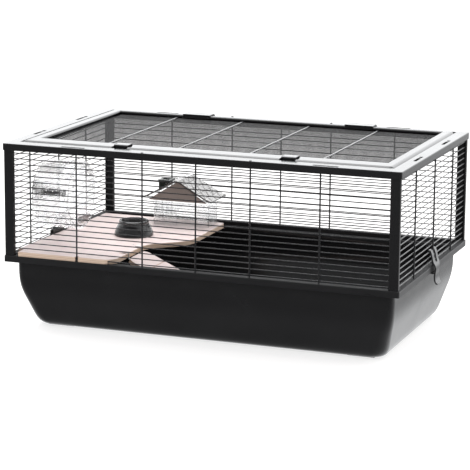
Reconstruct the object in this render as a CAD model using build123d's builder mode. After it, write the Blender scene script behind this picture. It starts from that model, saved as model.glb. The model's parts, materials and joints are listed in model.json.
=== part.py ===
from build123d import *
import os
from math import cos, radians, sin

os.makedirs("parts", exist_ok=True)

# Hamster cage: a deep moulded tray, a wire upper part with a hinged mesh lid, and its fittings.
# Millimetres. +X right along the length, +Y to the back, +Z up, z = 0 is the floor.

# ---- driving dimensions ----
LENGTH = 780
DEPTH = 480
HEIGHT = 360

BAND_LOW = 132
BAND_TOP = 144
BAND_WIDTH = 16
TOP_LOW = 347
CORNER_ROUND = 4
EDGE_ROUND = 1.5

POST_WIDTH = 19
POST_DEPTH = 9
POST_INSET = 2
TENON_X = 10
TENON_Y = 5
TENON_DEPTH = 4.5
TENON_PLAY = 0.1

WIRE_RADIUS = 1.0
UPRIGHT_RADIUS = 1.5
WIRE_FIRST = 149
WIRE_PITCH = 10.72
WIRE_COUNT = 19
WIRE_INSET = 6
UPRIGHT_STEP = 2.2
UPRIGHT_REACH = 3.5
UPRIGHT_HOLE = 1.6
LONG_UPRIGHTS = (-239, -106, 0, 106, 239)
SHORT_UPRIGHTS = (-130, 0, 130)

TRAY_WALL = 2.6
TRAY_FLOOR = 3.0
FLANGE_LOW = 133.4
FLANGE_TOP = 137
FLANGE_GAP = 3.5
# height, inset in x, inset in y, corner radius of the tray's outside
TRAY_LEVELS = (
    (TRAY_FLOOR, 47, 57, 24),
    (12, 38.5, 47, 26),
    (30, 32, 39, 24),
    (60, 23.5, 27, 20),
    (90, 17.5, 19.5, 17),
    (FLANGE_TOP, 14, 18, 14),
)
FOOT_LENGTH = 52
FOOT_WIDTH = 20
FOOT_X = 302
FOOT_Y = 164
SNAP_Z = 127.5
SNAP_HEIGHT = 4.5
SNAP_WIDTH = 9
SNAP_CUT_X = 32.2
SNAP_CUT_Y = 39

LID_X = 366
LID_FRONT = -209
LID_BACK = 225
LID_OPEN_X = 342
LID_OPEN_FRONT = -165
LID_OPEN_BACK = 207
LID_LOW = 351.3
LID_TOP = 362
LID_ROUND = 9
LID_INNER_ROUND = 4
LEDGE_PLAY = 1.2
STEP_TOP = 351
STEP_X = 350
STEP_FRONT = -194
STEP_BACK = 210
MESH_BAR_Z = 353.5
MESH_CROSS_RADIUS = 1.4
MESH_BARS = 35
MESH_CROSS_X = (-214, -71, 71, 214)

HINGE_X = 173
HINGE_Y = 231
HINGE_Z = 360
KNUCKLE_RADIUS = 4.2
HINGE_PIN_RADIUS = 1.6
HINGE_SEAT_Z = 354
LEAF_LOW = 356.2
HINGE_WIDTH = 58
LEAF_WIDTH = 26.4
HOOD_FRONT = 204.7
HOOD_BACK = 225.6
HOOD_LOW = 357
HOOD_TOP = 364.4
RUNNING_PLAY = 0.06

LATCH_X = 165
LATCH_Y = -187
LATCH_WIDTH = 28
LATCH_LENGTH = 22
LATCH_HEIGHT = 10.4
TONGUE_Y = -202.3
TONGUE_LENGTH = 12.6
POCKET_Y = -190
POCKET_WIDTH = 31
POCKET_LENGTH = 33
POCKET_LOW = 354.5

CLIP_WIRE = 2
CLIP_THICKNESS = 2.8
PRONG_HALF = 18
PRONG_LOW = 150
LEVER_HALF = 12
THUMB_HALF = 15
THUMB_Z = 114
CLIP_LOW = 104
CLIP_END = (399.4, 107)

SHELF_T = 9
SHELF_RIGHT = -163
SHELF_BACK = 165
SHELF_LEFT_FRONT = -372
SHELF_LEFT_BACK = -358
REST_TOP = 160

RAMP_ANGLE = 24.2
RAMP_T = 8
RAMP_WIDTH = 84
RAMP_X = -156
RAMP_Y = -144
RAMP_Z = 145.5
HOOK_Y = (-174, -114)
HOOK_RADIUS = 1.2

BOWL_X = -219
BOWL_Y = -11

HOUSE_X = -167
HOUSE_Y = 132

WHEEL_Y = -98
WHEEL_Z = 243
WHEEL_RADIUS = 66
WHEEL_LEFT = -367
WHEEL_RIGHT = -291
AXLE_RADIUS = 4
BOLT_RADIUS = 1.7
CLAMP_Z = WIRE_FIRST + 9.5 * WIRE_PITCH

# ---- values that follow ----
LONG_WIRE_Y = DEPTH / 2 - WIRE_INSET
SHORT_WIRE_X = LENGTH / 2 - WIRE_INSET
LONG_UPRIGHT_Y = LONG_WIRE_Y + UPRIGHT_STEP
SHORT_UPRIGHT_X = SHORT_WIRE_X + UPRIGHT_STEP
POST_X = LENGTH / 2 - POST_INSET - POST_WIDTH / 2
POST_Y = DEPTH / 2 - POST_INSET - POST_DEPTH / 2
POCKET_SIZE_X = TENON_X + 2 * TENON_PLAY
POCKET_SIZE_Y = TENON_Y + 2 * TENON_PLAY
FLANGE_X = LENGTH / 2 - FLANGE_GAP
FLANGE_Y = DEPTH / 2 - FLANGE_GAP
LID_MID = (LID_FRONT + LID_BACK) / 2
LID_OPEN_MID = (LID_OPEN_FRONT + LID_OPEN_BACK) / 2
STEP_MID = (STEP_FRONT + STEP_BACK) / 2
SHELF_Z = BAND_TOP
SHELF_TOP = SHELF_Z + SHELF_T
FLOOR_Z = TRAY_FLOOR + TRAY_WALL
CLAMP_X = -SHORT_WIRE_X
SIDES = (-1, 1)
CORNERS = [(x, y) for x in SIDES for y in SIDES]
UP = (Align.CENTER, Align.CENTER, Align.MIN)
DOWN = (Align.CENTER, Align.CENTER, Align.MAX)


def save(part, name):
    """Label one finished piece and write its STEP file."""
    part.label = name
    export_step(part, "parts/" + name + ".step")


def wedge(side_x, side_y):
    """Corner points of the quarter of the plan that one side's rail lies in, cut at 45 degrees."""
    far_x = LENGTH / 2 + 10
    far_y = DEPTH / 2 + 10
    deep = 120
    if side_x:
        return [
            (side_x * far_x, -far_y),
            (side_x * far_x, far_y),
            (side_x * (far_x - deep), far_y - deep),
            (side_x * (far_x - deep), -far_y + deep),
        ]
    return [
        (-far_x, side_y * far_y),
        (far_x, side_y * far_y),
        (far_x - deep, side_y * (far_y - deep)),
        (-far_x + deep, side_y * (far_y - deep)),
    ]


def save_rails(ring, low, high, prefix):
    """Cut a ring into its four mitred rails and write each one."""
    for name, side in {"front": (0, -1), "back": (0, 1), "left": (-1, 0), "right": (1, 0)}.items():
        with BuildPart() as rail:
            add(ring)
            with BuildSketch(Plane.XY.offset(low - 1)):
                Polygon(*wedge(*side), align=None)
            extrude(amount=high - low + 2, mode=Mode.INTERSECT)
        save(rail.part, prefix + name)


def upright_points(height):
    """Where the upright wires stand, at a given height."""
    long_sides = [(x, y * LONG_UPRIGHT_Y, height) for x in LONG_UPRIGHTS for y in SIDES]
    short_sides = [(x * SHORT_UPRIGHT_X, y, height) for x in SIDES for y in SHORT_UPRIGHTS]
    return long_sides + short_sides


# ---- base tray: tapered tub with a rim flange, four low feet and blind snap recesses ----
with BuildPart() as base_tray:
    for height, inset_x, inset_y, corner in TRAY_LEVELS:
        with BuildSketch(Plane.XY.offset(height)):
            RectangleRounded(LENGTH - 2 * inset_x, DEPTH - 2 * inset_y, corner)
    loft()
    with BuildSketch(Plane.XY.offset(FLANGE_LOW)):
        RectangleRounded(2 * FLANGE_X, 2 * FLANGE_Y, 12)
    extrude(amount=FLANGE_TOP - FLANGE_LOW)
    with Locations(*[(x * FOOT_X, y * FOOT_Y, 0) for x, y in CORNERS]):
        Box(FOOT_LENGTH, FOOT_WIDTH, TRAY_FLOOR + 1, align=UP)
    for height, inset_x, inset_y, corner in TRAY_LEVELS:
        lift = TRAY_WALL if height == TRAY_FLOOR else 0
        lift = 1 if height == FLANGE_TOP else lift
        width = LENGTH - 2 * (inset_x + TRAY_WALL)
        depth = DEPTH - 2 * (inset_y + TRAY_WALL)
        with BuildSketch(Plane.XY.offset(height + lift)):
            RectangleRounded(width, depth, corner - TRAY_WALL)
    loft(mode=Mode.SUBTRACT)
    with Locations(*[(x, y * DEPTH / 2, SNAP_Z) for x in (-198, 222) for y in SIDES]):
        Box(SNAP_WIDTH, SNAP_CUT_Y, SNAP_HEIGHT, mode=Mode.SUBTRACT)
    with Locations(*[(x * LENGTH / 2, y, SNAP_Z) for x in SIDES for y in (-150, 84)]):
        Box(SNAP_CUT_X, SNAP_WIDTH, SNAP_HEIGHT, mode=Mode.SUBTRACT)
save(base_tray.part, "base_tray")

# ---- bottom frame: four mitred rails over the tray's flange, with rests for the shelf ----
with BuildPart() as bottom_ring:
    with BuildSketch(Plane.XY.offset(BAND_LOW)):
        RectangleRounded(LENGTH, DEPTH, CORNER_ROUND)
        Rectangle(LENGTH - 2 * BAND_WIDTH, DEPTH - 2 * BAND_WIDTH, mode=Mode.SUBTRACT)
    extrude(amount=BAND_TOP - BAND_LOW)
    fillet(bottom_ring.faces().sort_by(Axis.Z)[-1].outer_wire().edges(), EDGE_ROUND)
    with BuildSketch(Plane.XY.offset(BAND_LOW)):
        RectangleRounded(2 * FLANGE_X + 1, 2 * FLANGE_Y + 1, 12)
    extrude(amount=FLANGE_TOP - BAND_LOW, mode=Mode.SUBTRACT)
    with Locations(*[(x * POST_X, y * POST_Y, BAND_TOP) for x, y in CORNERS]):
        Box(POCKET_SIZE_X, POCKET_SIZE_Y, 2 * TENON_DEPTH + 1, mode=Mode.SUBTRACT)
    with Locations(*upright_points(BAND_TOP)):
        Cylinder(UPRIGHT_HOLE, 2 * UPRIGHT_REACH + 1, mode=Mode.SUBTRACT)
    # two rests under the shelf's left edge, each with a stop that the edge butts against
    with Locations((-376, -38, BAND_TOP), (-376, 92, BAND_TOP)):
        Box(26, 52, 5, align=(Align.MIN, Align.CENTER, Align.MAX))
        Box(7, 52, REST_TOP - BAND_TOP, align=(Align.MIN, Align.CENTER, Align.MIN))
save_rails(bottom_ring.part, BAND_LOW, REST_TOP, "bottom_rail_")

# ---- top frame: four mitred rails with a ledge and a step for the lid ----
with BuildPart() as top_ring:
    with BuildSketch(Plane.XY.offset(TOP_LOW)):
        RectangleRounded(LENGTH, DEPTH, CORNER_ROUND)
        with Locations((0, STEP_MID)):
            Rectangle(2 * STEP_X, STEP_BACK - STEP_FRONT, mode=Mode.SUBTRACT)
    extrude(amount=HEIGHT - TOP_LOW)
    fillet(top_ring.faces().sort_by(Axis.Z)[-1].outer_wire().edges(), EDGE_ROUND)
    with BuildSketch(Plane.XY.offset(STEP_TOP)):
        with Locations((0, LID_MID)):
            Rectangle(2 * (LID_X + LEDGE_PLAY), LID_BACK - LID_FRONT + 2 * LEDGE_PLAY)
    extrude(amount=HEIGHT - STEP_TOP, mode=Mode.SUBTRACT)
    with Locations(*[(x * POST_X, y * POST_Y, TOP_LOW) for x, y in CORNERS]):
        Box(POCKET_SIZE_X, POCKET_SIZE_Y, 2 * TENON_DEPTH + 1, mode=Mode.SUBTRACT)
    with Locations(*upright_points(TOP_LOW)):
        Cylinder(UPRIGHT_HOLE, 2 * UPRIGHT_REACH + 1, mode=Mode.SUBTRACT)
    # stacking slots in the end rails, each with a small hook rib left in it
    with Locations(*[(x * 380, y * 98 - 8, HEIGHT) for x, y in CORNERS]):
        Box(6, 34, 7, align=DOWN, mode=Mode.SUBTRACT)
    with Locations(*[(x * 380, y * 98 + 19, HEIGHT) for x, y in CORNERS]):
        Box(6, 12, 5, align=DOWN, mode=Mode.SUBTRACT)
    # stacking slots in the long rails
    with Locations(*[(x * 247, y * 232.5, HEIGHT) for x, y in CORNERS]):
        Box(48, 7, 6, align=DOWN, mode=Mode.SUBTRACT)
    # keepers that the lid's latches slide into
    with Locations(*[(x * LATCH_X, LID_FRONT - 5, 356.4) for x in SIDES]):
        Box(27, 9.6, 4.8, mode=Mode.SUBTRACT)
    # recesses for the lid's hinges
    with Locations(*[(x * HINGE_X, HINGE_Y + 0.2, HINGE_SEAT_Z) for x in SIDES]):
        Box(HINGE_WIDTH + 1.2, 13, 10, align=UP, mode=Mode.SUBTRACT)
    # holes for the frame rivets
    with Locations(*[(x * 106, y * 236.4, HEIGHT) for x, y in CORNERS]):
        Cylinder(1.5, 7, mode=Mode.SUBTRACT)
save_rails(top_ring.part, TOP_LOW, HEIGHT, "top_rail_")

with BuildPart() as frame_rivets:
    with Locations(*[(x * 106, y * 236.4, HEIGHT) for x, y in CORNERS]):
        Cylinder(1.45, 3, align=DOWN)
        Cylinder(2.4, 1.2, align=UP)
    fillet(frame_rivets.edges().group_by(Axis.Z)[-1], 0.8)
save(frame_rivets.part, "frame_rivets")

# ---- corner posts: flat bars, tenoned into both frames, grooved for the wire ends ----
CORNER_NAMES = {
    (-1, -1): "front_left",
    (1, -1): "front_right",
    (-1, 1): "back_left",
    (1, 1): "back_right",
}
for (side_x, side_y), name in CORNER_NAMES.items():
    with BuildPart() as post:
        with Locations((side_x * POST_X, side_y * POST_Y, BAND_TOP)):
            Box(POST_WIDTH, POST_DEPTH, TOP_LOW - BAND_TOP, align=UP)
        fillet(post.edges().filter_by(Axis.Z), 2)
        with Locations((side_x * POST_X, side_y * POST_Y, BAND_TOP - TENON_DEPTH)):
            Box(TENON_X, TENON_Y, TOP_LOW - BAND_TOP + 2 * TENON_DEPTH, align=UP)
        middle = (BAND_TOP + TOP_LOW) / 2
        inner_x = side_x * (POST_X - POST_WIDTH / 2)
        inner_y = side_y * (POST_Y - POST_DEPTH / 2)
        with Locations((inner_x, side_y * LONG_WIRE_Y, middle)):
            Box(8, 2.6, TOP_LOW - BAND_TOP - 2, mode=Mode.SUBTRACT)
        with Locations((side_x * SHORT_WIRE_X, inner_y, middle)):
            Box(2.6, 8, TOP_LOW - BAND_TOP - 2, mode=Mode.SUBTRACT)
    save(post.part, "corner_post_" + name)

# ---- wire panels: level wires welded to uprights that stand outside them ----
WIRE_LEVELS = [WIRE_FIRST + WIRE_PITCH * i for i in range(WIRE_COUNT)]
UPRIGHT_LENGTH = TOP_LOW - BAND_TOP + 2 * UPRIGHT_REACH
UPRIGHT_MIDDLE = (TOP_LOW + BAND_TOP) / 2
LONG_WIRE = 2 * (POST_X - POST_WIDTH / 2 + 3)
SHORT_WIRE = 2 * (POST_Y - POST_DEPTH / 2 + 3)
for side, name in ((-1, "front"), (1, "back")):
    with BuildPart() as panel:
        with Locations(*[(0, side * LONG_WIRE_Y, z) for z in WIRE_LEVELS]):
            Cylinder(WIRE_RADIUS, LONG_WIRE, rotation=(0, 90, 0))
        with Locations(*[(x, side * LONG_UPRIGHT_Y, UPRIGHT_MIDDLE) for x in LONG_UPRIGHTS]):
            Cylinder(UPRIGHT_RADIUS, UPRIGHT_LENGTH)
    save(panel.part, "wire_panel_" + name)
for side, name in ((-1, "left"), (1, "right")):
    with BuildPart() as panel:
        with Locations(*[(side * SHORT_WIRE_X, 0, z) for z in WIRE_LEVELS]):
            Cylinder(WIRE_RADIUS, SHORT_WIRE, rotation=(90, 0, 0))
        with Locations(*[(side * SHORT_UPRIGHT_X, y, UPRIGHT_MIDDLE) for y in SHORT_UPRIGHTS]):
            Cylinder(UPRIGHT_RADIUS, UPRIGHT_LENGTH)
    save(panel.part, "wire_panel_" + name)

# ---- lid: crowned frame, grooved for its mesh, with latch pockets and hinge seats ----
with BuildPart() as lid_frame:
    with BuildSketch(Plane.XY.offset(LID_LOW)):
        with Locations((0, LID_MID)):
            RectangleRounded(2 * LID_X, LID_BACK - LID_FRONT, LID_ROUND + 1)
        with Locations((0, LID_OPEN_MID)):
            Rectangle(2 * LID_OPEN_X, LID_OPEN_BACK - LID_OPEN_FRONT, mode=Mode.SUBTRACT)
    extrude(amount=LID_TOP - LID_LOW)
    lid_face = lid_frame.faces().sort_by(Axis.Z)[-1]
    lid_outer = lid_face.outer_wire().edges()
    lid_inner = lid_face.inner_wires()[0].edges()
    fillet(lid_outer, LID_ROUND)
    fillet(lid_inner, LID_INNER_ROUND)
    groove_length = 2 * LID_OPEN_X + 12
    groove_depth = LID_OPEN_BACK - LID_OPEN_FRONT + 12
    with Locations((0, LID_OPEN_MID, MESH_BAR_Z - 0.9)):
        Box(groove_length, groove_depth, 5.2, align=UP, mode=Mode.SUBTRACT)
    with Locations(*[(x * LATCH_X, POCKET_Y, POCKET_LOW) for x in SIDES]):
        Box(POCKET_WIDTH, POCKET_LENGTH, 12, align=UP, mode=Mode.SUBTRACT)
    with Locations(*[(x * LATCH_X, LID_FRONT, POCKET_LOW) for x in SIDES]):
        Box(23, 12, 4, align=UP, mode=Mode.SUBTRACT)
    with Locations(*[(x * HINGE_X, 221, LEAF_LOW) for x in SIDES]):
        Box(LEAF_WIDTH, 14, 10, align=UP, mode=Mode.SUBTRACT)
save(lid_frame.part, "lid_frame")

with BuildPart() as lid_mesh:
    bar_steps = [WIRE_PITCH * (i - (MESH_BARS - 1) / 2) for i in range(MESH_BARS)]
    with Locations(*[(0, LID_OPEN_MID + step, MESH_BAR_Z) for step in bar_steps]):
        Cylinder(WIRE_RADIUS, 2 * LID_OPEN_X + 9, rotation=(0, 90, 0))
    with Locations(*[(x, LID_OPEN_MID, MESH_BAR_Z + 2.2) for x in MESH_CROSS_X]):
        Cylinder(MESH_CROSS_RADIUS, LID_OPEN_BACK - LID_OPEN_FRONT + 9, rotation=(90, 0, 0))
save(lid_mesh.part, "lid_mesh")

# ---- lid hinges: brackets on the back rail, leaves on the lid, one pin each ----
EAR_WIDTH = (HINGE_WIDTH - LEAF_WIDTH - 1.2) / 2
EAR_OFFSET = (HINGE_WIDTH - EAR_WIDTH) / 2
ear_places = [x * HINGE_X + e * EAR_OFFSET for x in SIDES for e in SIDES]
with BuildPart() as lid_hinge_brackets:
    with Locations(*[(x * HINGE_X, HINGE_Y + 1.1, HINGE_SEAT_Z) for x in SIDES]):
        Box(HINGE_WIDTH, 10.6, 1.4, align=UP)
    with Locations(*[(x, HINGE_Y, HINGE_SEAT_Z) for x in ear_places]):
        Box(EAR_WIDTH, 2 * KNUCKLE_RADIUS, HINGE_Z - HINGE_SEAT_Z, align=UP)
    with Locations(*[(x, HINGE_Y, HINGE_Z) for x in ear_places]):
        Cylinder(KNUCKLE_RADIUS, EAR_WIDTH, rotation=(0, 90, 0))
        Cylinder(HINGE_PIN_RADIUS + 0.02, EAR_WIDTH + 2, rotation=(0, 90, 0), mode=Mode.SUBTRACT)
save(lid_hinge_brackets.part, "lid_hinge_brackets")

with BuildPart() as lid_hinge_leaves:
    with Locations(*[(x * HINGE_X, 222.7, LEAF_LOW) for x in SIDES]):
        Box(LEAF_WIDTH - 0.8, 16.6, 3.6, align=UP)
    with Locations(*[(x * HINGE_X, 220, LEAF_LOW) for x in SIDES]):
        Box(LEAF_WIDTH - 0.8, 11.2, HOOD_TOP - LEAF_LOW, align=UP)
    # a hood over the lid's back rail, with a lip down its inner face and a small foot
    with Locations(*[(x * HINGE_X, (HOOD_FRONT + HOOD_BACK) / 2, LID_TOP + 0.02) for x in SIDES]):
        Box(HINGE_WIDTH, HOOD_BACK - HOOD_FRONT, HOOD_TOP - LID_TOP - 0.02, align=UP)
    with Locations(*[(x * HINGE_X, HOOD_FRONT + 1.1, HOOD_LOW) for x in SIDES]):
        Box(HINGE_WIDTH, 2.2, HOOD_TOP - HOOD_LOW - 0.5, align=UP)
    with Locations(*[(x * HINGE_X, HOOD_FRONT - 0.9, HOOD_LOW) for x in SIDES]):
        Box(HINGE_WIDTH, 2.2, 1, align=UP)
    with Locations(*[(x * HINGE_X, HINGE_Y, HINGE_Z) for x in SIDES]):
        Cylinder(KNUCKLE_RADIUS, LEAF_WIDTH, rotation=(0, 90, 0))
        bore = HINGE_PIN_RADIUS + RUNNING_PLAY
        Cylinder(bore, LEAF_WIDTH + 4, rotation=(0, 90, 0), mode=Mode.SUBTRACT)
save(lid_hinge_leaves.part, "lid_hinge_leaves")

with BuildPart() as lid_hinge_pins:
    with Locations(*[(x * HINGE_X, HINGE_Y, HINGE_Z) for x in SIDES]):
        Cylinder(HINGE_PIN_RADIUS, HINGE_WIDTH - 2, rotation=(0, 90, 0))
save(lid_hinge_pins.part, "lid_hinge_pins")

# ---- latches: a thumb block with a tongue, drawn at its unlocked end ----
for side, name in ((-1, "latch_left"), (1, "latch_right")):
    with BuildPart() as latch:
        with Locations((side * LATCH_X, LATCH_Y, POCKET_LOW + 0.3)):
            Box(LATCH_WIDTH, LATCH_LENGTH, LATCH_HEIGHT, align=UP)
        fillet(latch.faces().sort_by(Axis.Z)[-1].edges(), 3.5)
        with Locations((side * LATCH_X, TONGUE_Y, POCKET_LOW + 0.5)):
            Box(22, TONGUE_LENGTH, 3, align=UP)
    save(latch.part, name)

# ---- end clips: two prongs hook over a level wire, the lever snaps under the bottom frame ----
CLIP_Z = WIRE_FIRST + CLIP_WIRE * WIRE_PITCH
with BuildPart() as clip_right:
    with BuildSketch(Plane.XZ):
        with BuildLine() as lever_line:
            Spline(
                (SHORT_WIRE_X + 2.6, CLIP_Z),
                (389.6, 160),
                (391.6, 152),
                (394.8, 144),
                (395.4, 135),
                (394.2, 125),
                (395.6, 115),
                CLIP_END,
            )
        trace(line_width=CLIP_THICKNESS)
        with Locations((SHORT_WIRE_X, CLIP_Z)):
            Circle(3.8)
            Circle(1.4, mode=Mode.SUBTRACT)
        with Locations((SHORT_WIRE_X - 1.2, CLIP_Z - 3)):
            Rectangle(2.6, 6, mode=Mode.SUBTRACT)
    extrude(amount=20, both=True)
    with Locations((390.6, 0, 127.6)):
        Box(8.2, 2 * LEVER_HALF, 3.2, align=UP)
    with Locations((CLIP_END[0] - 1.2, 0, CLIP_END[1] + 2)):
        Cylinder(2.4, 2 * THUMB_HALF, rotation=(90, 0, 0))
    with BuildSketch(Plane.YZ.offset(370)):
        with BuildLine():
            Polyline(
                (-THUMB_HALF, THUMB_Z),
                (-LEVER_HALF, 126),
                (-LEVER_HALF, 138),
                (-PRONG_HALF, PRONG_LOW),
                (-PRONG_HALF, 190),
                (PRONG_HALF, 190),
                (PRONG_HALF, PRONG_LOW),
                (LEVER_HALF, 138),
                (LEVER_HALF, 126),
                (THUMB_HALF, THUMB_Z),
            )
            ThreePointArc((THUMB_HALF, THUMB_Z), (0, CLIP_LOW), (-THUMB_HALF, THUMB_Z))
        make_face()
    extrude(amount=50, mode=Mode.INTERSECT)
    with Locations((SHORT_WIRE_X, 0, PRONG_LOW)):
        Box(20, 13, 40, align=UP, mode=Mode.SUBTRACT)
save(clip_right.part, "clip_right")
with BuildPart() as clip_left:
    add(mirror(clip_right.part, about=Plane.YZ, mode=Mode.PRIVATE))
save(clip_left.part, "clip_left")

# ---- shelf board: birch ply on the front and left rails, grooved over the lowest front wire ----
with BuildPart() as shelf_board:
    with BuildSketch(Plane.XY.offset(SHELF_Z)):
        with BuildLine():
            Polyline(
                (SHELF_LEFT_BACK, SHELF_BACK),
                (SHELF_LEFT_FRONT, -213),
                (-360.5, -213),
                (-360.5, -238),
                (-187, -238),
            )
            ThreePointArc((-187, -238), (-170, -231), (SHELF_RIGHT, -214))
            Line((SHELF_RIGHT, -214), (SHELF_RIGHT, -112))
            Spline(
                (SHELF_RIGHT, -112),
                (-130, -55),
                (-94, 10),
                tangents=((0, 1), (0, 1)),
            )
            Line((-94, 10), (-94, SHELF_BACK - 8))
            ThreePointArc((-94, SHELF_BACK - 8), (-96.3, SHELF_BACK - 2.3), (-102, SHELF_BACK))
            Line((-102, SHELF_BACK), (SHELF_LEFT_BACK, SHELF_BACK))
        make_face()
    extrude(amount=SHELF_T)
    fillet(shelf_board.faces().sort_by(Axis.Z)[-1].edges(), 0.8)
    with Locations((-262, -LONG_WIRE_Y, SHELF_Z)):
        Box(230, 3.2, 13, mode=Mode.SUBTRACT)
    with Locations((-239, -DEPTH / 2, SHELF_Z)):
        Box(6, 18, 30, mode=Mode.SUBTRACT)
    with Locations(*[(-172.75, y, SHELF_Z) for y in HOOK_Y]):
        Box(14.5, 4.4, 30, mode=Mode.SUBTRACT)
    with Locations((-184, -96, SHELF_TOP), (-168, 2, SHELF_TOP)):
        Cylinder(2.3, 12, mode=Mode.SUBTRACT)
save(shelf_board.part, "shelf_board")

with BuildPart() as shelf_screws:
    with Locations((-184, -96, SHELF_TOP + 0.4), (-168, 2, SHELF_TOP + 0.4)):
        Cylinder(2.2, 5, align=DOWN)
    with Locations((-184, -96, SHELF_TOP + 0.4), (-168, 2, SHELF_TOP + 0.4)):
        Box(3, 0.7, 1.2, mode=Mode.SUBTRACT)
save(shelf_screws.part, "shelf_screws")

# ---- ramp: grooved board that hangs by two wire hooks and rests on the tray's floor ----
RAMP_DROP = RAMP_Z - FLOOR_Z - 0.4 - RAMP_T * cos(radians(RAMP_ANGLE))
RAMP_LENGTH = RAMP_DROP / sin(radians(RAMP_ANGLE))
ramp_plane = Plane(
    origin=(RAMP_X, RAMP_Y, RAMP_Z),
    x_dir=(cos(radians(RAMP_ANGLE)), 0, -sin(radians(RAMP_ANGLE))),
    z_dir=(sin(radians(RAMP_ANGLE)), 0, cos(radians(RAMP_ANGLE))),
)
with BuildPart() as ramp_board:
    with BuildSketch(ramp_plane):
        with Locations((RAMP_LENGTH / 2, 0)):
            RectangleRounded(RAMP_LENGTH, RAMP_WIDTH, 14)
    extrude(amount=-RAMP_T)
    with BuildSketch(ramp_plane):
        with Locations(*[(44 + 44 * i, 0) for i in range(6)]):
            Rectangle(2, RAMP_WIDTH + 4)
    extrude(amount=-1.6, mode=Mode.SUBTRACT)
save(ramp_board.part, "ramp_board")

with BuildPart() as ramp_hooks:
    for hook_y in HOOK_Y:
        with BuildLine(Plane.XZ.offset(-hook_y)) as hook_line:
            hook_points = [(-150, 139), (-160.4, 143.7), (-160.4, 155.2), (-172.5, 155.2), (-172.5, 147.5)]
            FilletPolyline(*hook_points, radius=2.6)
        with BuildSketch(Plane(origin=hook_line.line @ 0, z_dir=hook_line.line % 0)):
            Circle(HOOK_RADIUS)
        sweep(path=hook_line.line)
save(ramp_hooks.part, "ramp_hooks")

# ---- food bowl ----
with BuildPart() as bowl:
    with BuildSketch(Plane.XZ.offset(-BOWL_Y)):
        with BuildLine():
            Polyline(
                (BOWL_X, SHELF_TOP + 9),
                (BOWL_X, SHELF_TOP + 3),
                (BOWL_X + 34, SHELF_TOP + 3),
                (BOWL_X + 35, SHELF_TOP),
                (BOWL_X + 38.5, SHELF_TOP),
                (BOWL_X + 38.5, SHELF_TOP + 3),
                (BOWL_X + 27.5, SHELF_TOP + 30),
                (BOWL_X + 24.5, SHELF_TOP + 30),
                (BOWL_X + 19, SHELF_TOP + 9),
                (BOWL_X, SHELF_TOP + 9),
            )
        make_face()
    revolve(axis=Axis((BOWL_X, BOWL_Y, 0), (0, 0, 1)))
    fillet(bowl.edges().group_by(Axis.Z)[-1], 1)
save(bowl.part, "bowl")

# ---- house: clear walls with an arched door, tiled gable roof, chimney ----
EAVE_Z = 204
RIDGE_Z = 248
ROOF_HALF = 74
ROOF_DEPTH = 86
WALL_HALF_X = 60
WALL_HALF_Y = 28
with BuildPart() as house_body:
    with Locations((HOUSE_X, HOUSE_Y, SHELF_TOP)):
        Box(2 * WALL_HALF_X, 2 * WALL_HALF_Y, EAVE_Z - SHELF_TOP, align=UP)
    fillet(house_body.edges().filter_by(Axis.Z), 6)
    with BuildSketch(Plane.XY.offset(SHELF_TOP)):
        with Locations((HOUSE_X, HOUSE_Y)):
            RectangleRounded(2 * WALL_HALF_X - 4, 2 * WALL_HALF_Y - 4, 4)
    extrude(amount=EAVE_Z - SHELF_TOP, mode=Mode.SUBTRACT)
    with BuildSketch(Plane.XZ.offset(-HOUSE_Y + WALL_HALF_Y + 5)):
        with Locations((HOUSE_X + 14, SHELF_TOP)):
            Rectangle(44, 40)
            with Locations((0, 20)):
                Circle(22)
    extrude(amount=-20, mode=Mode.SUBTRACT)
save(house_body.part, "house_body")

ROOF_SLOPE = Vector(ROOF_HALF, 0, EAVE_Z - RIDGE_Z).normalized()
with BuildPart() as house_roof:
    with BuildSketch(Plane.XZ.offset(-HOUSE_Y - ROOF_DEPTH / 2)) as gable:
        with BuildLine():
            Polyline(
                (HOUSE_X - ROOF_HALF, EAVE_Z),
                (HOUSE_X + ROOF_HALF, EAVE_Z),
                (HOUSE_X, RIDGE_Z),
                (HOUSE_X - ROOF_HALF, EAVE_Z),
            )
        make_face()
        fillet(gable.vertices().sort_by(Axis.Z)[-1], 8)
    extrude(amount=ROOF_DEPTH)
    for side in SIDES:
        slope_plane = Plane(
            origin=(HOUSE_X + side * ROOF_HALF / 2, HOUSE_Y, (EAVE_Z + RIDGE_Z) / 2),
            x_dir=(0, 1, 0),
            z_dir=(side * -ROOF_SLOPE.Z, 0, ROOF_SLOPE.X),
        )
        with BuildSketch(slope_plane):
            with GridLocations(ROOF_DEPTH / 5, 1, 4, 1):
                Rectangle(1.2, 68)
            with GridLocations(1, 17, 1, 4):
                Rectangle(ROOF_DEPTH - 4, 1.2)
        extrude(amount=0.8)
    with BuildSketch(Plane.XZ.offset(-HOUSE_Y - ROOF_DEPTH / 2 + 2)):
        with BuildLine():
            Polyline(
                (HOUSE_X - ROOF_HALF + 8, EAVE_Z + 2),
                (HOUSE_X + ROOF_HALF - 8, EAVE_Z + 2),
                (HOUSE_X, RIDGE_Z - 4),
                (HOUSE_X - ROOF_HALF + 8, EAVE_Z + 2),
            )
        make_face()
    extrude(amount=ROOF_DEPTH - 4, mode=Mode.SUBTRACT)
    with Locations((HOUSE_X, HOUSE_Y, EAVE_Z)):
        Box(2 * WALL_HALF_X - 12, 2 * WALL_HALF_Y - 12, 8, mode=Mode.SUBTRACT)
save(house_roof.part, "house_roof")

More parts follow.
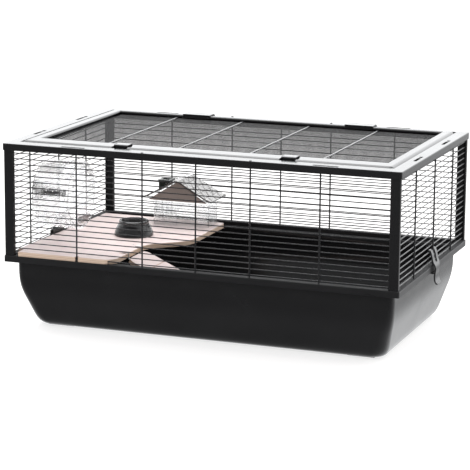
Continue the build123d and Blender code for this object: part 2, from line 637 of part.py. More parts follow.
CHIMNEY_X = -211
CHIMNEY_Y = 138
CHIMNEY_TOP = 240
with BuildPart() as house_chimney:
    with Locations((CHIMNEY_X, CHIMNEY_Y, 205)):
        Box(24, 24, CHIMNEY_TOP - 205, align=UP)
    with Locations((CHIMNEY_X, CHIMNEY_Y, CHIMNEY_TOP)):
        Box(27, 27, 4, align=DOWN)
        Box(17, 17, 16, mode=Mode.SUBTRACT)
    with BuildSketch(Plane.XZ.offset(-CHIMNEY_Y - 30)):
        with BuildLine():
            lift = 1.0
            Polyline(
                (HOUSE_X - ROOF_HALF - 20, 190),
                (HOUSE_X + 20, 190),
                (HOUSE_X, RIDGE_Z + lift),
                (HOUSE_X - ROOF_HALF, EAVE_Z + lift),
                (HOUSE_X - ROOF_HALF - 20, EAVE_Z + lift),
                (HOUSE_X - ROOF_HALF - 20, 190),
            )
        make_face()
    extrude(amount=60, mode=Mode.SUBTRACT)
save(house_chimney.part, "house_chimney")

# ---- wheel: clear drum with treads, spinning on an axle clamped to the end wires ----
WHEEL_WIDTH = WHEEL_RIGHT - WHEEL_LEFT
wheel_plane = Plane(origin=(WHEEL_LEFT, WHEEL_Y, WHEEL_Z), x_dir=(0, 1, 0), z_dir=(1, 0, 0))
with BuildPart() as wheel_drum:
    with BuildSketch(wheel_plane):
        Circle(WHEEL_RADIUS)
    extrude(amount=WHEEL_WIDTH)
    with BuildSketch(wheel_plane.offset(2)):
        Circle(WHEEL_RADIUS - 2)
    extrude(amount=WHEEL_WIDTH, mode=Mode.SUBTRACT)
    with BuildSketch(wheel_plane.offset(WHEEL_WIDTH - 2)):
        Circle(WHEEL_RADIUS)
        Circle(WHEEL_RADIUS - 5, mode=Mode.SUBTRACT)
    extrude(amount=2)
    with BuildSketch(wheel_plane):
        with PolarLocations(WHEEL_RADIUS - 2.4, 24):
            Rectangle(2, 2)
    extrude(amount=WHEEL_WIDTH)
    with BuildSketch(wheel_plane):
        Circle(8)
    extrude(amount=34)
    with BuildSketch(wheel_plane.offset(-1)):
        Circle(AXLE_RADIUS + 0.05)
    extrude(amount=60, mode=Mode.SUBTRACT)
save(wheel_drum.part, "wheel_drum")

with BuildPart() as wheel_axle:
    with Locations((CLAMP_X + 1.5, WHEEL_Y, WHEEL_Z + 2)):
        Box(3, 20, 34, align=(Align.MIN, Align.CENTER, Align.CENTER))
    fillet(wheel_axle.edges().filter_by(Axis.X), 5)
    with BuildSketch(wheel_plane.offset(CLAMP_X + 4 - WHEEL_LEFT)):
        Circle(AXLE_RADIUS)
    extrude(amount=49)
    with Locations((CLAMP_X + 3, WHEEL_Y, CLAMP_Z)):
        Cylinder(BOLT_RADIUS + 0.2, 8, rotation=(0, 90, 0), mode=Mode.SUBTRACT)
save(wheel_axle.part, "wheel_axle")

with BuildPart() as wheel_axle_cap:
    with BuildSketch(wheel_plane.offset(CLAMP_X + 51.6 - WHEEL_LEFT)):
        Circle(7.5)
    extrude(amount=4.4)
    fillet(wheel_axle_cap.faces().sort_by(Axis.X)[-1].edges(), 1.5)
    with BuildSketch(wheel_plane.offset(CLAMP_X + 51 - WHEEL_LEFT)):
        Circle(AXLE_RADIUS)
    extrude(amount=2.1, mode=Mode.SUBTRACT)
save(wheel_axle_cap.part, "wheel_axle_cap")

with BuildPart() as wheel_clamp_plate:
    with Locations((CLAMP_X - 4.2, WHEEL_Y, CLAMP_Z - 2)):
        Box(3, 20, 30, align=(Align.MIN, Align.CENTER, Align.CENTER))
    fillet(wheel_clamp_plate.edges().filter_by(Axis.X), 5)
    with Locations((CLAMP_X - 3, WHEEL_Y, CLAMP_Z)):
        Cylinder(BOLT_RADIUS + 0.2, 8, rotation=(0, 90, 0), mode=Mode.SUBTRACT)
save(wheel_clamp_plate.part, "wheel_clamp_plate")

with BuildPart() as wheel_clamp_bolt:
    with Locations((CLAMP_X - 13, WHEEL_Y, CLAMP_Z)):
        Cylinder(BOLT_RADIUS, 17.5, rotation=(0, 90, 0), align=UP)
    with Locations((CLAMP_X + 4.5, WHEEL_Y, CLAMP_Z)):
        Cylinder(3.3, 2.2, rotation=(0, 90, 0), align=UP)
    with Locations((CLAMP_X + 4.5, WHEEL_Y, CLAMP_Z - 3.3)):
        Box(6, 8, 1.2, mode=Mode.SUBTRACT)
save(wheel_clamp_bolt.part, "wheel_clamp_bolt")

nut_plane = Plane(origin=(CLAMP_X - 10.4, WHEEL_Y, CLAMP_Z), x_dir=(0, 1, 0), z_dir=(1, 0, 0))
with BuildPart() as wheel_clamp_nut:
    with BuildSketch(nut_plane):
        Circle(7)
        with PolarLocations(7, 12):
            Circle(0.9, mode=Mode.SUBTRACT)
        Circle(BOLT_RADIUS + 0.02, mode=Mode.SUBTRACT)
    extrude(amount=6.2)
save(wheel_clamp_nut.part, "wheel_clamp_nut")
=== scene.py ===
# %% [markdown]
# # A hamster cage, dressed on its CAD frame
#
# The cage is a deep black moulded tray with a wire upper part, a hinged mesh lid, a plywood shelf
# and ramp, and a clear wheel and house. Its frame comes from the CAD model, so this lesson only adds
# looks: finishes for the CAD pieces, and finer meshes for the pieces whose shape carries the eye.

# %% Load the frame
import json
from math import cos, pi, radians, sin

import bmesh
import bpy
from mathutils import Matrix, Vector


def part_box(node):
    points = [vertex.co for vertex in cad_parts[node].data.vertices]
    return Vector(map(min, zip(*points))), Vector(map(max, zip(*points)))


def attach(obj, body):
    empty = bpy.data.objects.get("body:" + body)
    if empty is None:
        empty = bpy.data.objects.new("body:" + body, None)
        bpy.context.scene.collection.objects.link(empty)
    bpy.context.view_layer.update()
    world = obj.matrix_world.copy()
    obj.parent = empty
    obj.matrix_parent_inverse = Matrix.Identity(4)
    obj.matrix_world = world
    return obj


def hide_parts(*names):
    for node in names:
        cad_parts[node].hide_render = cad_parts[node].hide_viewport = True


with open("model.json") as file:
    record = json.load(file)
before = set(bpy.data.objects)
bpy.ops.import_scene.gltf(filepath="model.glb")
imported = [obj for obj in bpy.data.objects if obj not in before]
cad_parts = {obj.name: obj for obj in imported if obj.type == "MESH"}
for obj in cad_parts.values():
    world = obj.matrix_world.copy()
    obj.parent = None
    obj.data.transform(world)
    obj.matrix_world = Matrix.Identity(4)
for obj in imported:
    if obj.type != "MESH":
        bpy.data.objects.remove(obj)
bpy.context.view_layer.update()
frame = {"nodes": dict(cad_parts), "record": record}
nodes = frame["nodes"]

# %% [markdown]
# ## The camera
#
# A long lens from far away keeps the cage's edges nearly parallel, as catalogue pictures do. It
# could be aimed with a constraint, but a written-out turn is exact and leaves nothing to evaluate.

# %% Camera
CAMERA_PLACE = Vector((1.3668, -3.7047, 1.0130))
CAMERA_TURN = -0.3559
CAMERA_DIP = 0.2108
CAMERA_ROLL = 0.0083
CAMERA_LENS = 159.35


def aim_camera():
    """A camera matrix from a heading, a dip below the horizon and a small roll."""
    forward = Vector((sin(CAMERA_TURN), cos(CAMERA_TURN), 0))
    ahead = forward * cos(CAMERA_DIP) - Vector((0, 0, sin(CAMERA_DIP)))
    level = Vector((cos(CAMERA_TURN), -sin(CAMERA_TURN), 0))
    upright = level.cross(ahead)
    side = level * cos(CAMERA_ROLL) + upright * sin(CAMERA_ROLL)
    top = upright * cos(CAMERA_ROLL) - level * sin(CAMERA_ROLL)
    turn = Matrix((side, top, -ahead)).transposed().to_4x4()
    return Matrix.Translation(CAMERA_PLACE) @ turn


camera_data = bpy.data.cameras.new("camera")
camera_data.sensor_width = 36
camera_data.lens = CAMERA_LENS
camera = bpy.data.objects.new("camera", camera_data)
bpy.context.scene.collection.objects.link(camera)
camera.matrix_world = aim_camera()
bpy.context.scene.camera = camera
bpy.context.scene.view_settings.view_transform = "Standard"
print("camera at", [round(v, 2) for v in CAMERA_PLACE])

# %% [markdown]
# ## Shader maths as Python
#
# A finish is a small sum: a base value plus some noise, held between limits. Wiring that by hand
# hides the sum among links, so a number in a node tree is wrapped in a class that understands
# plus, times and the comparisons, and the sum reads as it would on paper.

# %% The wrapped number and the recipe
class Flow:
    """A number that flows through one recipe's nodes."""

    def __init__(self, recipe, socket):
        self.recipe = recipe
        self.socket = socket

    def step(self, operation, first, second):
        maths = self.recipe.add("ShaderNodeMath", {"operation": operation}, {0: first, 1: second})
        return Flow(self.recipe, maths.outputs[0])

    def __add__(self, other):
        return self.step("ADD", self, other)

    def __radd__(self, other):
        return self.step("ADD", other, self)

    def __mul__(self, other):
        return self.step("MULTIPLY", self, other)

    def __rmul__(self, other):
        return self.step("MULTIPLY", other, self)

    def __gt__(self, other):
        return self.step("GREATER_THAN", self, other)

    def __lt__(self, other):
        return self.step("LESS_THAN", self, other)

    def __abs__(self):
        return self.step("ABSOLUTE", self, 0)

    def cycle(self, length):
        """Saw-tooth from 0 to length."""
        return self.step("FLOORED_MODULO", self, length)


class Recipe:
    """A material built round one Principled shader. Fixed numbers go straight on its sockets."""

    def __init__(self, name, **fixed):
        self.material = bpy.data.materials.new(name)
        self.material.use_nodes = True
        self.tree = self.material.node_tree
        self.tree.nodes.clear()
        self.shader = self.tree.nodes.new("ShaderNodeBsdfPrincipled")
        output = self.tree.nodes.new("ShaderNodeOutputMaterial")
        self.tree.links.new(self.shader.outputs[0], output.inputs["Surface"])
        self.place = self.tree.nodes.new("ShaderNodeTexCoord").outputs["Object"]
        for label, number in fixed.items():
            self.shader.inputs[label.replace("_", " ")].default_value = number

    def add(self, kind, settings, inputs):
        """One node: its settings first, then the values or links of its sockets."""
        node = self.tree.nodes.new(kind)
        for label, setting in settings.items():
            setattr(node, label, setting)
        for label, value in inputs.items():
            self.feed(node.inputs[label], value)
        return node

    def feed(self, socket, value):
        if isinstance(value, Flow):
            self.tree.links.new(value.socket, socket)
        elif isinstance(value, bpy.types.NodeSocket):
            self.tree.links.new(value, socket)
        else:
            socket.default_value = value

    def turned(self, turn=(0, 0, 0), stretch=(1, 1, 1)):
        """The piece's own coordinates, turned and stretched."""
        inputs = {"Vector": self.place, "Rotation": turn, "Scale": stretch}
        return self.add("ShaderNodeMapping", {}, inputs).outputs[0]

    def noise(self, scale, detail=2.0, at=None):
        inputs = {"Vector": at or self.place, "Scale": scale, "Detail": detail}
        return Flow(self, self.add("ShaderNodeTexNoise", {}, inputs).outputs[0])

    def upward(self, at=None):
        """How high a point is, or how far any other direction points up."""
        split = self.add("ShaderNodeSeparateXYZ", {}, {0: at or self.place})
        return Flow(self, split.outputs["Z"])

    def facing_up(self):
        """1 on a level face, 0 on an upright one, -1 on an underside."""
        return self.upward(self.add("ShaderNodeNewGeometry", {}, {}).outputs["Normal"])

    def blend(self, amount, low, high):
        mix = self.add("ShaderNodeMix", {"data_type": "RGBA"}, {"Factor": amount, 6: low, 7: high})
        return mix.outputs[2]

    def colour(self, value):
        self.feed(self.shader.inputs["Base Color"], value)

    def rough(self, value):
        self.feed(self.shader.inputs["Roughness"], value)

    def relief(self, height, depth, strength=1.0):
        inputs = {"Height": height, "Distance": depth, "Strength": strength}
        bump = self.add("ShaderNodeBump", {}, inputs)
        self.feed(self.shader.inputs["Normal"], bump.outputs[0])


print("shader helpers ready")

# %% [markdown]
# ## Moulded black plastic
#
# Injection moulded polypropylene is never a flat black. The tool leaves a fine skin texture, the
# wall cools unevenly so the gloss drifts, and a long panel waves a little, which is what makes its
# reflection run soft. Two sizes of noise give the skin and the drift.

# %% Plastics
SKIN_DEPTH = 0.0012
SKIN_STRENGTH = 0.35
GRAIN_SCALE = 1400
WAVE_SCALE = 7
TRAY_FLOOR_TOP = 0.012


def shade(level, warmth=0.0):
    """A near-black grey, a touch bluer or greener than neutral."""
    return (level, level * (1 + warmth), level * 1.06, 1)


def moulded_plastic(name, dark, light, gloss, drift, skin):
    """A plastic whose gloss drifts by some amount over a fine skin of some depth."""
    paint = Recipe(name, IOR=1.5)
    cloud = paint.noise(9, 3)
    paint.colour(paint.blend(cloud, dark, light))
    paint.rough(cloud * drift + gloss)
    fine = paint.noise(GRAIN_SCALE, 2)
    slow = paint.noise(WAVE_SCALE, 1)
    paint.relief(fine * skin + slow, SKIN_DEPTH, SKIN_STRENGTH)
    return paint.material


def tray_plastic():
    """The tray shines outside. Its floor is textured in the mould, so it is duller; its colour there
    is darkened as painted shade from the walls and the lid's mesh.
    """
    paint = Recipe("tray_black", IOR=1.5)
    cloud = paint.noise(9, 3)
    floor = (paint.upward() < TRAY_FLOOR_TOP) * (paint.facing_up() > 0.4)
    skin = paint.blend(cloud, shade(0.010), shade(0.016))
    # painted shade: the floor's colour is blended to near black where the walls and the lid shade it
    paint.colour(paint.blend(floor, skin, shade(0.003)))
    paint.rough(cloud * 0.12 + floor * 0.35 + 0.14)
    fine = paint.noise(GRAIN_SCALE, 2)
    slow = paint.noise(WAVE_SCALE, 1)
    paint.relief(fine * 0.02 + floor * fine * 0.2 + slow, SKIN_DEPTH, SKIN_STRENGTH)
    return paint.material


def rail_plastic():
    """The lower rails are scuffed by the clips and by cleaning, most of all on their tops."""
    paint = Recipe("rail_black", IOR=1.5, Specular_IOR_Level=0.3)
    cloud = paint.noise(12, 3)
    paint.colour(paint.blend(cloud, shade(0.012), shade(0.018)))
    scuffed = paint.facing_up() > 0.5
    paint.rough(cloud * 0.12 + scuffed * 0.5 + 0.24)
    fine = paint.noise(GRAIN_SCALE, 2)
    slow = paint.noise(WAVE_SCALE, 1)
    paint.relief(fine * 0.02 + slow, SKIN_DEPTH, 0.3)
    return paint.material


tray_black = tray_plastic()
rail_black = rail_plastic()
frame_black = moulded_plastic("frame_black", shade(0.010), shade(0.015), 0.10, 0.10, 0.015)
clip_black = moulded_plastic("clip_black", shade(0.018), shade(0.028), 0.22, 0.12, 0.05)
bowl_black = moulded_plastic("bowl_black", shade(0.010), shade(0.016), 0.10, 0.08, 0.02)
chimney_green = moulded_plastic("chimney_green", shade(0.006, 0.6), shade(0.010, 0.6), 0.24, 0.1, 0.04)
print("plastics:", len(bpy.data.materials))

# %% [markdown]
# ## Coated wire and bright steel
#
# The wires are dipped in powder and baked, which leaves a satin, slightly pebbled coat. Where the
# coat is thick it flows out smooth and mirrors more. The few bare steel parts are zinc plated, and
# cloudy in the way that plating is.

# %% Wire and steel
def coated_wire(name, gloss, index):
    """Powder coat on wire, glossier and a better mirror where it is thick."""
    paint = Recipe(name, IOR=index)
    pebble = paint.noise(900, 2)
    paint.colour(paint.blend(pebble, (0.010, 0.010, 0.011, 1), (0.020, 0.020, 0.022, 1)))
    paint.rough(pebble * 0.12 + gloss)
    paint.relief(pebble, 0.0001, 0.5)
    return paint.material


wire_black = coated_wire("coated_wire", 0.22, 1.5)
cross_black = coated_wire("coated_cross_wire", 0.06, 1.9)


def plated_steel():
    """Zinc plate: a fine drawn texture under a little blue-grey cloud."""
    paint = Recipe("plated_steel", Metallic=1.0)
    cloud = paint.noise(160, 3)
    paint.colour(paint.blend(cloud, (0.55, 0.56, 0.58, 1), (0.72, 0.72, 0.72, 1)))
    paint.rough(paint.noise(2200, 1) * 0.15 + 0.22)
    return paint.material


steel = plated_steel()

# %% [markdown]
# ## Birch plywood
#
# The boards are thin plywood. The face is rotary cut, so its grain is long and faint, and the sawn
# edge shows the layers as brown stripes. The face and the edge are told apart by how far the
# surface's normal points up, so one finish serves the whole board.

# %% Plywood
LAYER = 0.0018


def wood_in_light(red, green, blue, light_level):
    """A wood colour scaled by a painted light level: lighter where the board is lit, darker where it
    is shaded.
    """
    return (red * light_level, green * light_level, blue * light_level, 1)


def birch_ply(name, turn, light_level):
    """Rotary-cut birch: pale face with faint grain along the board, browner sawn edge in layers."""
    paint = Recipe(name, IOR=1.45)
    board = paint.turned(turn)
    grain = paint.noise(60, 5, paint.turned(turn, (0.12, 1.6, 1.6)))
    figure = paint.noise(9, 2, paint.turned(turn, (0.5, 2.2, 1)))
    pale = wood_in_light(0.67, 0.568, 0.552, light_level)
    face = paint.blend(grain * 0.6 + figure * 0.4, wood_in_light(0.56, 0.455, 0.435, light_level), pale)
    layer = (paint.upward(board) + 1).cycle(2 * LAYER) > LAYER
    edge = paint.blend(layer * 0.6 + grain * 0.4, (0.52, 0.37, 0.27, 1), (0.68, 0.53, 0.42, 1))
    side = abs(paint.facing_up()) < 0.6
    paint.colour(paint.blend(side, face, edge))
    paint.rough(grain * 0.12 + 0.5)
    paint.relief(grain, 0.0003, 0.5)
    return paint.material


RAMP_SLOPE = radians(24.2)
# painted light and shade: one plywood, the shelf a touch lighter and the ramp darker as the light
# falls on them
shelf_wood = birch_ply("shelf_wood", (0, 0, 0), 1.03)
ramp_wood = birch_ply("ramp_wood", (0, -RAMP_SLOPE, 0), 0.86)
print("woods:", shelf_wood.name, ramp_wood.name)

# %% [markdown]
# ## Clear and smoked plastic
#
# The house's walls and the wheel are clear polystyrene. It lets light through, but its flow lines
# and scratches still hide a little of what is behind, which a part-way alpha gives without the cost
# of true depth. The roof is smoked, with a glossy coat over a colour that has a little brown in it.

# %% Clear and smoked plastics
def clear_plastic(name, tint, gloss, body):
    """Clear moulded polystyrene: faint flow haze, and a cloudier gloss in patches."""
    paint = Recipe(name, IOR=1.49, Transmission_Weight=1.0, Alpha=body)
    haze = paint.noise(24, 2)
    paint.colour(paint.blend(haze, tint, (1, 1, 1, 1)))
    paint.rough(haze * 0.06 + gloss)
    paint.relief(haze, 0.0006, 0.4)
    return paint.material


clear_house = clear_plastic("clear_house", (0.92, 0.94, 0.95, 1), 0.04, 0.6)
clear_wheel = clear_plastic("clear_wheel", (0.94, 0.95, 0.96, 1), 0.08, 0.38)


def smoked_plastic(name, dark, light, coat):
    """Brown-grey smoked plastic: light comes through it, and its skin is glossy."""
    paint = Recipe(name, IOR=1.5, Transmission_Weight=0.2, Coat_Weight=coat)
    cloud = paint.noise(30, 3)
    paint.colour(paint.blend(cloud, dark, light))
    paint.rough(cloud * 0.08 + 0.12)
    paint.relief(cloud, 0.0006, 0.4)
    return paint.material


smoked = smoked_plastic("smoked_roof", (0.07, 0.06, 0.055, 1), (0.11, 0.095, 0.088, 1), 0.6)
gable_brown = smoked_plastic("smoked_gable", (0.29, 0.24, 0.215, 1), (0.36, 0.305, 0.275, 1), 0.0)
print("finishes:", len(bpy.data.materials))

# %% [markdown]
# ## Finishes on the CAD pieces
#
# A CAD piece whose shape is right only needs its finish, which goes in its material slot.

# %% Dress the CAD nodes
def dress(names, material):
    for name in names:
        mesh = nodes[name].data
        mesh.materials.clear()
        mesh.materials.append(material)


SLOT_FINISH = {
    "tray_plastic": tray_black,
    "frame_plastic": frame_black,
    "coated_wire": wire_black,
    "latch_plastic": frame_black,
    "clip_plastic": clip_black,
    "birch_ply": shelf_wood,
    "steel": steel,
    "bowl_plastic": bowl_black,
    "clear_plastic": clear_house,
    "smoked_plastic": smoked,
    "chimney_plastic": chimney_green,
}
for part in frame["record"]["subparts"]:
    dress([part["node"]], SLOT_FINISH[part["material_slot"]])
dress(["ramp_board"], ramp_wood)
dress(["wheel_drum"], clear_wheel)
dress(["bottom_rail_" + side for side in ("front", "back", "left", "right")], rail_black)
print("dressed", len(nodes), "nodes")

# %% [markdown]
# ## Turning a work mesh into a piece
#
# Every made piece ends the same way: doubles merged, normals turned outwards, smooth shading that
# stops at real edges, and a body to ride on. One function keeps those endings alike.

# %% Finishing a made piece
def finish_piece(name, work, body, slot, finishes, *stands_for):
    bmesh.ops.remove_doubles(work, verts=work.verts, dist=0.00002)
    bmesh.ops.recalc_face_normals(work, faces=work.faces)
    mesh = bpy.data.meshes.new(name)
    work.to_mesh(mesh)
    work.free()
    mesh.shade_smooth()
    mesh.set_sharp_from_angle(angle=radians(38))
    for finish in finishes:
        mesh.materials.append(finish)
    piece = bpy.data.objects.new(name, mesh)
    bpy.context.scene.collection.objects.link(piece)
    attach(piece, body)
    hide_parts(*stands_for)
    print(name, "has", len(mesh.polygons), "faces")
    return piece


# %% [markdown]
# ## The lid's mesh
#
# Welded mesh is made on a machine that lays straight drawn wires over cross wires and welds every
# crossing. Cylinders laid by the same pitch say exactly that. The level wires are thin, so the lid
# reads as a veil, and the few cross wires above them are stout and catch the light.

# %% Lid mesh
BAR_PITCH = 0.01072
BAR_RADIUS = 0.00085
CROSS_RADIUS = 0.0015
CROSS_PLACES = (-0.214, -0.071, 0.071, 0.214)
FIRST_BAR = 0.001


def lay_wire(work, start, end, radius, sides, finish):
    """A straight round wire between two points, its ends closed, in a numbered finish."""
    run = end - start
    turn = run.to_track_quat("Z", "Y").to_matrix().to_4x4()
    place = Matrix.Translation((start + end) / 2) @ turn
    made = bmesh.ops.create_cone(
        work,
        cap_ends=True,
        segments=sides,
        radius1=radius,
        radius2=radius,
        depth=run.length,
        matrix=place,
    )
    for vert in made["verts"]:
        for face in vert.link_faces:
            face.material_index = finish


def make_lid_mesh():
    low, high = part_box("lid_mesh")
    work = bmesh.new()
    middle = (low.y + high.y) / 2
    count = int((high.y - low.y) / BAR_PITCH)
    level = low.z + FIRST_BAR
    for i in range(count):
        y = middle + BAR_PITCH * (i - (count - 1) / 2)
        start = Vector((low.x, y, level))
        end = Vector((high.x, y, level))
        lay_wire(work, start, end, BAR_RADIUS, 12, 0)
    for x in CROSS_PLACES:
        start = Vector((x, low.y, high.z - CROSS_RADIUS))
        end = Vector((x, high.y, high.z - CROSS_RADIUS))
        lay_wire(work, start, end, CROSS_RADIUS, 20, 1)
    finish_piece("lid_wires", work, "lid", "coated_wire", [wire_black, cross_black], "lid_mesh")


make_lid_mesh()

# %% [markdown]
# ## The latches
#
# Each latch is a hollow thumb block with an arched back: a finger pushes its front face and the
# tongue under it slides below the top frame. It starts as a cube at its real size. The two long
# top edges are rounded over into the arch, then the ends and the front are inset and pushed in.

# %% Latches
LATCH_ARCH = 0.003
LATCH_SHELL = 0.0011
LATCH_END_DEPTH = 0.004
LATCH_FRONT_DEPTH = 0.0006
TONGUE_THICK = 0.003
TONGUE_INSET = 0.003
BLOCK_START = 0.0106
SMALLEST_FRONT = 0.00004


def boxed(work, low, high):
    """A cube stretched between two corners."""
    size = high - low
    stretch = Matrix.Diagonal((size.x, size.y, size.z, 1))
    place = Matrix.Translation((low + high) / 2) @ stretch
    bmesh.ops.create_cube(work, size=1, matrix=place)


def make_latch(node):
    low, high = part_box(node)
    work = bmesh.new()
    boxed(work, Vector((low.x, low.y + BLOCK_START, low.z)), high)
    top = [edge for edge in work.edges if all(v.co.z > high.z - 0.0001 for v in edge.verts)]
    arch = [edge for edge in top if abs(edge.verts[0].co.x - edge.verts[1].co.x) > 0.01]
    bmesh.ops.bevel(
        work,
        geom=arch,
        offset=LATCH_ARCH,
        segments=7,
        profile=0.5,
        affect="EDGES",
        material=-1,
    )
    ends = [face for face in work.faces if abs(face.normal.x) > 0.9]
    bmesh.ops.inset_individual(work, faces=ends, thickness=LATCH_SHELL, depth=0)
    bmesh.ops.inset_individual(work, faces=ends, thickness=0.0001, depth=-LATCH_END_DEPTH)
    front = [face for face in work.faces if face.normal.y < -0.9 and face.calc_area() > SMALLEST_FRONT]
    bmesh.ops.inset_individual(work, faces=front, thickness=LATCH_SHELL, depth=-LATCH_FRONT_DEPTH)
    boxed(
        work,
        Vector((low.x + TONGUE_INSET, low.y, low.z + 0.0002)),
        Vector((high.x - TONGUE_INSET, low.y + BLOCK_START + 0.001, low.z + TONGUE_THICK)),
    )
    finish_piece(node + "_block", work, node, "latch_plastic", [frame_black], node)


make_latch("latch_left")
make_latch("latch_right")

# %% [markdown]
# ## The food bowl
#
# A bowl that a hamster can't tip is wide at the foot and narrow at the rim. It is round, so it is
# turned: one outline of the wall, spun about the upright axis. The rim rolls over a small groove,
# and that groove is the thin dark line that tells the eye how thick the plastic is.

# %% Bowl
BOWL_OUTLINE = (
    (0.0, 0.0030),
    (0.0335, 0.0030),
    (0.0345, 0.0002),
    (0.0375, 0.0),
    (0.0385, 0.0012),
    (0.0384, 0.0036),
    (0.0372, 0.0085),
    (0.0345, 0.0150),
    (0.0315, 0.0212),
    (0.0296, 0.0238),
    (0.0287, 0.0246),
    (0.0290, 0.0256),
    (0.0298, 0.0270),
    (0.0296, 0.0286),
    (0.0282, 0.0298),
    (0.0262, 0.0300),
    (0.0247, 0.0290),
    (0.0236, 0.0262),
    (0.0218, 0.0190),
    (0.0196, 0.0125),
    (0.0160, 0.0096),
    (0.0, 0.0090),
)


def turn_outline(work, outline, centre, steps):
    """Spin an outline of (radius, height) points about an upright axis."""
    points = [work.verts.new((centre.x + radius, centre.y, centre.z + up)) for radius, up in outline]
    lines = [work.edges.new(pair) for pair in zip(points, points[1:])]
    bmesh.ops.spin(
        work,
        geom=points + lines,
        cent=centre,
        axis=(0, 0, 1),
        angle=2 * pi,
        steps=steps,
        use_merge=True,
    )


def make_bowl():
    low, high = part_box("bowl")
    centre = Vector(((low.x + high.x) / 2, (low.y + high.y) / 2, low.z))
    work = bmesh.new()
    turn_outline(work, BOWL_OUTLINE, centre, 72)
    finish_piece("bowl_turned", work, "bowl", "bowl_plastic", [bowl_black], "bowl")


make_bowl()

# %% [markdown]
# ## The house's roof
#
# The roof is a thin smoked sheet over two gable ends. It starts as a flat grid with one cell for
# each tile. The grid is folded at the ridge and eased up at the eaves, the ridge is rounded, and
# the sheet is given its wall. Each tile's face is then set in and raised, so grooves run between.

# %% Roof
TILE_COLUMNS = 5
TILE_ROWS = 5
ROOF_WALL = 0.002
TILE_MARGIN = 0.0007
TILE_RISE = 0.0007
GABLE_SETBACK = 0.004
GABLE_WALL = 0.002
GABLE_SPAN = 0.94
GABLE_DROP = 0.0035
GABLE_INSET = 0.003
EAVE_EASE = 0.3
EAVE_START = 0.8
EAVE_REACH = 1.08
RIDGE_ROUND = 0.005
SMALLEST_TILE = 0.00012


def fold_roof(work, low, high):
    """Fold a flat grid of half-size 1 into two slopes with lifted eaves."""
    centre = (low + high) / 2
    size = high - low
    drop = size.z - ROOF_WALL
    for vert in work.verts:
        reach = abs(vert.co.x)
        fall = reach - EAVE_EASE * max(0.0, reach - EAVE_START)
        vert.co.z = high.z - drop * fall
        vert.co.x = centre.x + vert.co.x * EAVE_REACH * size.x / 2
        vert.co.y = centre.y + vert.co.y * size.y / 2


def cut_gable(work, low, high, y, wall):
    """A box cut along both slopes: one gable end."""
    centre = Vector(((low.x + high.x) / 2, y, (low.z + high.z) / 2))
    size = high - low
    stretch = Matrix.Diagonal((size.x * GABLE_SPAN, wall, size.z, 1))
    bmesh.ops.create_cube(work, size=1, matrix=Matrix.Translation(centre) @ stretch)
    rise = size.z / (size.x / 2)
    top = Vector((centre.x, y, high.z - GABLE_DROP))
    for side in (-1, 1):
        verts = [vert for vert in work.verts if abs(vert.co.y - y) <= wall]
        edges = {edge for vert in verts for edge in vert.link_edges}
        faces = {face for vert in verts for face in vert.link_faces}
        cut = bmesh.ops.bisect_plane(
            work,
            geom=verts + list(edges) + list(faces),
            dist=0.000001,
            plane_co=top,
            plane_no=Vector((side * rise, 0, 1)).normalized(),
            clear_outer=True,
        )
        rim = [item for item in cut["geom_cut"] if isinstance(item, bmesh.types.BMEdge)]
        bmesh.ops.holes_fill(work, edges=rim, sides=0)


def make_roof():
    low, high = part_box("house_roof")
    sheet = bmesh.new()
    bmesh.ops.create_grid(sheet, x_segments=2 * TILE_ROWS, y_segments=TILE_COLUMNS, size=1)
    fold_roof(sheet, low, high)
    middle = (low.x + high.x) / 2
    ridge = [edge for edge in sheet.edges if all(abs(v.co.x - middle) < 0.0001 for v in edge.verts)]
    bmesh.ops.bevel(
        sheet,
        geom=ridge,
        offset=RIDGE_ROUND,
        segments=4,
        profile=0.5,
        affect="EDGES",
        material=-1,
    )
    bmesh.ops.recalc_face_normals(sheet, faces=sheet.faces)
    bmesh.ops.solidify(sheet, geom=sheet.faces[:], thickness=ROOF_WALL)
    bmesh.ops.recalc_face_normals(sheet, faces=sheet.faces)
    tiles = [face for face in sheet.faces if face.normal.z > 0.3 and face.calc_area() > SMALLEST_TILE]
    bmesh.ops.inset_individual(sheet, faces=tiles, thickness=TILE_MARGIN, depth=TILE_RISE)
    finish_piece("roof_sheet", sheet, "house", "smoked_plastic", [smoked], "house_roof")
    gables = bmesh.new()
    inner_low = low + Vector((GABLE_INSET, 0, 0.0005))
    for y in (low.y + GABLE_SETBACK, high.y - GABLE_SETBACK):
        cut_gable(gables, inner_low, high, y, GABLE_WALL)
    finish_piece("roof_gables", gables, "house", "smoked_plastic", [gable_brown], "house_roof")


make_roof()

# %% [markdown]
# ## Floor and light
#
# Glossy black shows little of its own colour: it shows what it mirrors. So the room is a soft
# gradient, bright behind and above the cage and dark in front of it. The level faces then turn
# white, the end turns grey and the long front stays black, all from one sky. The floor is hidden
# from mirrors, and a low sheen behind the cage stands in for it.

# %% The floor, the sky and one softbox
# each part of the sky is a climb with height times a climb with depth, as start, end, low, high
SKY_PARTS = (
    ((-0.2, -0.02, 0.28, 1.0), (-0.55, 0.75, 0.2, 2.0)),
    ((-0.36, -0.22, 0.62, 0.0), (0.2, 0.85, 0.0, 1.0)),
    ((-0.1, 0.6, 0.1, 1.0), (-0.95, -0.3, 0.35, 1.0)),
)


def make_floor():
    mesh = bpy.data.meshes.new("floor")
    work = bmesh.new()
    bmesh.ops.create_grid(work, x_segments=1, y_segments=1, size=12)
    work.to_mesh(mesh)
    work.free()
    floor = bpy.data.objects.new("floor", mesh)
    bpy.context.scene.collection.objects.link(floor)
    glow = (1, 1, 1, 1)
    paper = Recipe("floor_paper", Roughness=0.9, Emission_Color=glow, Emission_Strength=0.74)
    paper.colour(paper.blend(paper.noise(3, 2), (0.31, 0.30, 0.295, 1), (0.33, 0.32, 0.315, 1)))
    mesh.materials.append(paper.material)
    floor.visible_glossy = False


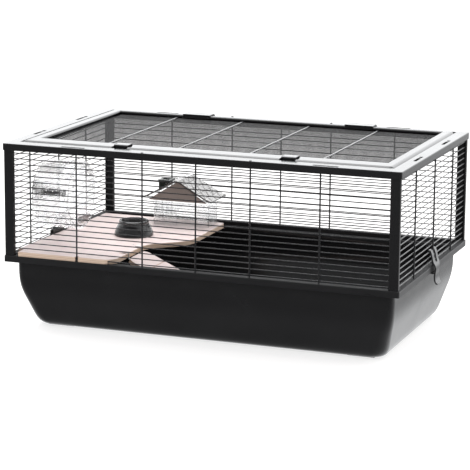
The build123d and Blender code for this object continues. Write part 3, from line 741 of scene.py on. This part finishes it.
def ramp_of(tree, socket, start, end, low, high):
    """A smooth climb from low to high while a direction's part runs from start to end."""
    climb = tree.nodes.new("ShaderNodeMapRange")
    climb.interpolation_type = "SMOOTHSTEP"
    numbers = {"From Min": start, "From Max": end, "To Min": low, "To Max": high}
    for label, number in numbers.items():
        climb.inputs[label].default_value = number
    tree.links.new(socket, climb.inputs["Value"])
    return climb.outputs[0]


def join_maths(tree, operation, first, second):
    maths = tree.nodes.new("ShaderNodeMath")
    maths.operation = operation
    tree.links.new(first, maths.inputs[0])
    tree.links.new(second, maths.inputs[1])
    return maths.outputs[0]


def make_sky():
    world = bpy.data.worlds.new("studio")
    bpy.context.scene.world = world
    world.use_nodes = True
    tree = world.node_tree
    tree.nodes.clear()
    place = tree.nodes.new("ShaderNodeTexCoord")
    split = tree.nodes.new("ShaderNodeSeparateXYZ")
    tree.links.new(place.outputs["Generated"], split.inputs[0])
    parts = []
    for (up_start, up_end, up_low, up_high), (start, end, low, high) in SKY_PARTS:
        by_height = ramp_of(tree, split.outputs["Z"], up_start, up_end, up_low, up_high)
        by_depth = ramp_of(tree, split.outputs["Y"], start, end, low, high)
        parts.append(join_maths(tree, "MULTIPLY", by_depth, by_height))
    wall, sheen, above = parts
    total = join_maths(tree, "ADD", join_maths(tree, "ADD", wall, sheen), above)
    sky = tree.nodes.new("ShaderNodeBackground")
    sky.inputs["Color"].default_value = (0.98, 0.99, 1.0, 1)
    tree.links.new(total, sky.inputs["Strength"])
    seen = tree.nodes.new("ShaderNodeBackground")
    seen.inputs["Strength"].default_value = 1.0
    seen.inputs["Color"].default_value = (1, 1, 1, 1)
    rays = tree.nodes.new("ShaderNodeLightPath")
    choose = tree.nodes.new("ShaderNodeMixShader")
    tree.links.new(rays.outputs["Is Camera Ray"], choose.inputs[0])
    tree.links.new(sky.outputs[0], choose.inputs[1])
    tree.links.new(seen.outputs[0], choose.inputs[2])
    output = tree.nodes.new("ShaderNodeOutputWorld")
    tree.links.new(choose.outputs[0], output.inputs["Surface"])


def make_softbox(name, place, aim, size, power):
    lamp = bpy.data.lights.new(name, "AREA")
    lamp.shape = "RECTANGLE"
    lamp.size = size
    lamp.size_y = size
    lamp.energy = power
    box = bpy.data.objects.new(name, lamp)
    bpy.context.scene.collection.objects.link(box)
    box.location = place
    box.rotation_euler = (Vector(aim) - Vector(place)).to_track_quat("-Z", "Y").to_euler()


make_floor()
make_sky()
make_softbox("top_softbox", (-0.6, 0.4, 2.6), (0, 0, 0.2), 1.8, 45)
print("lights:", len(bpy.data.lights))
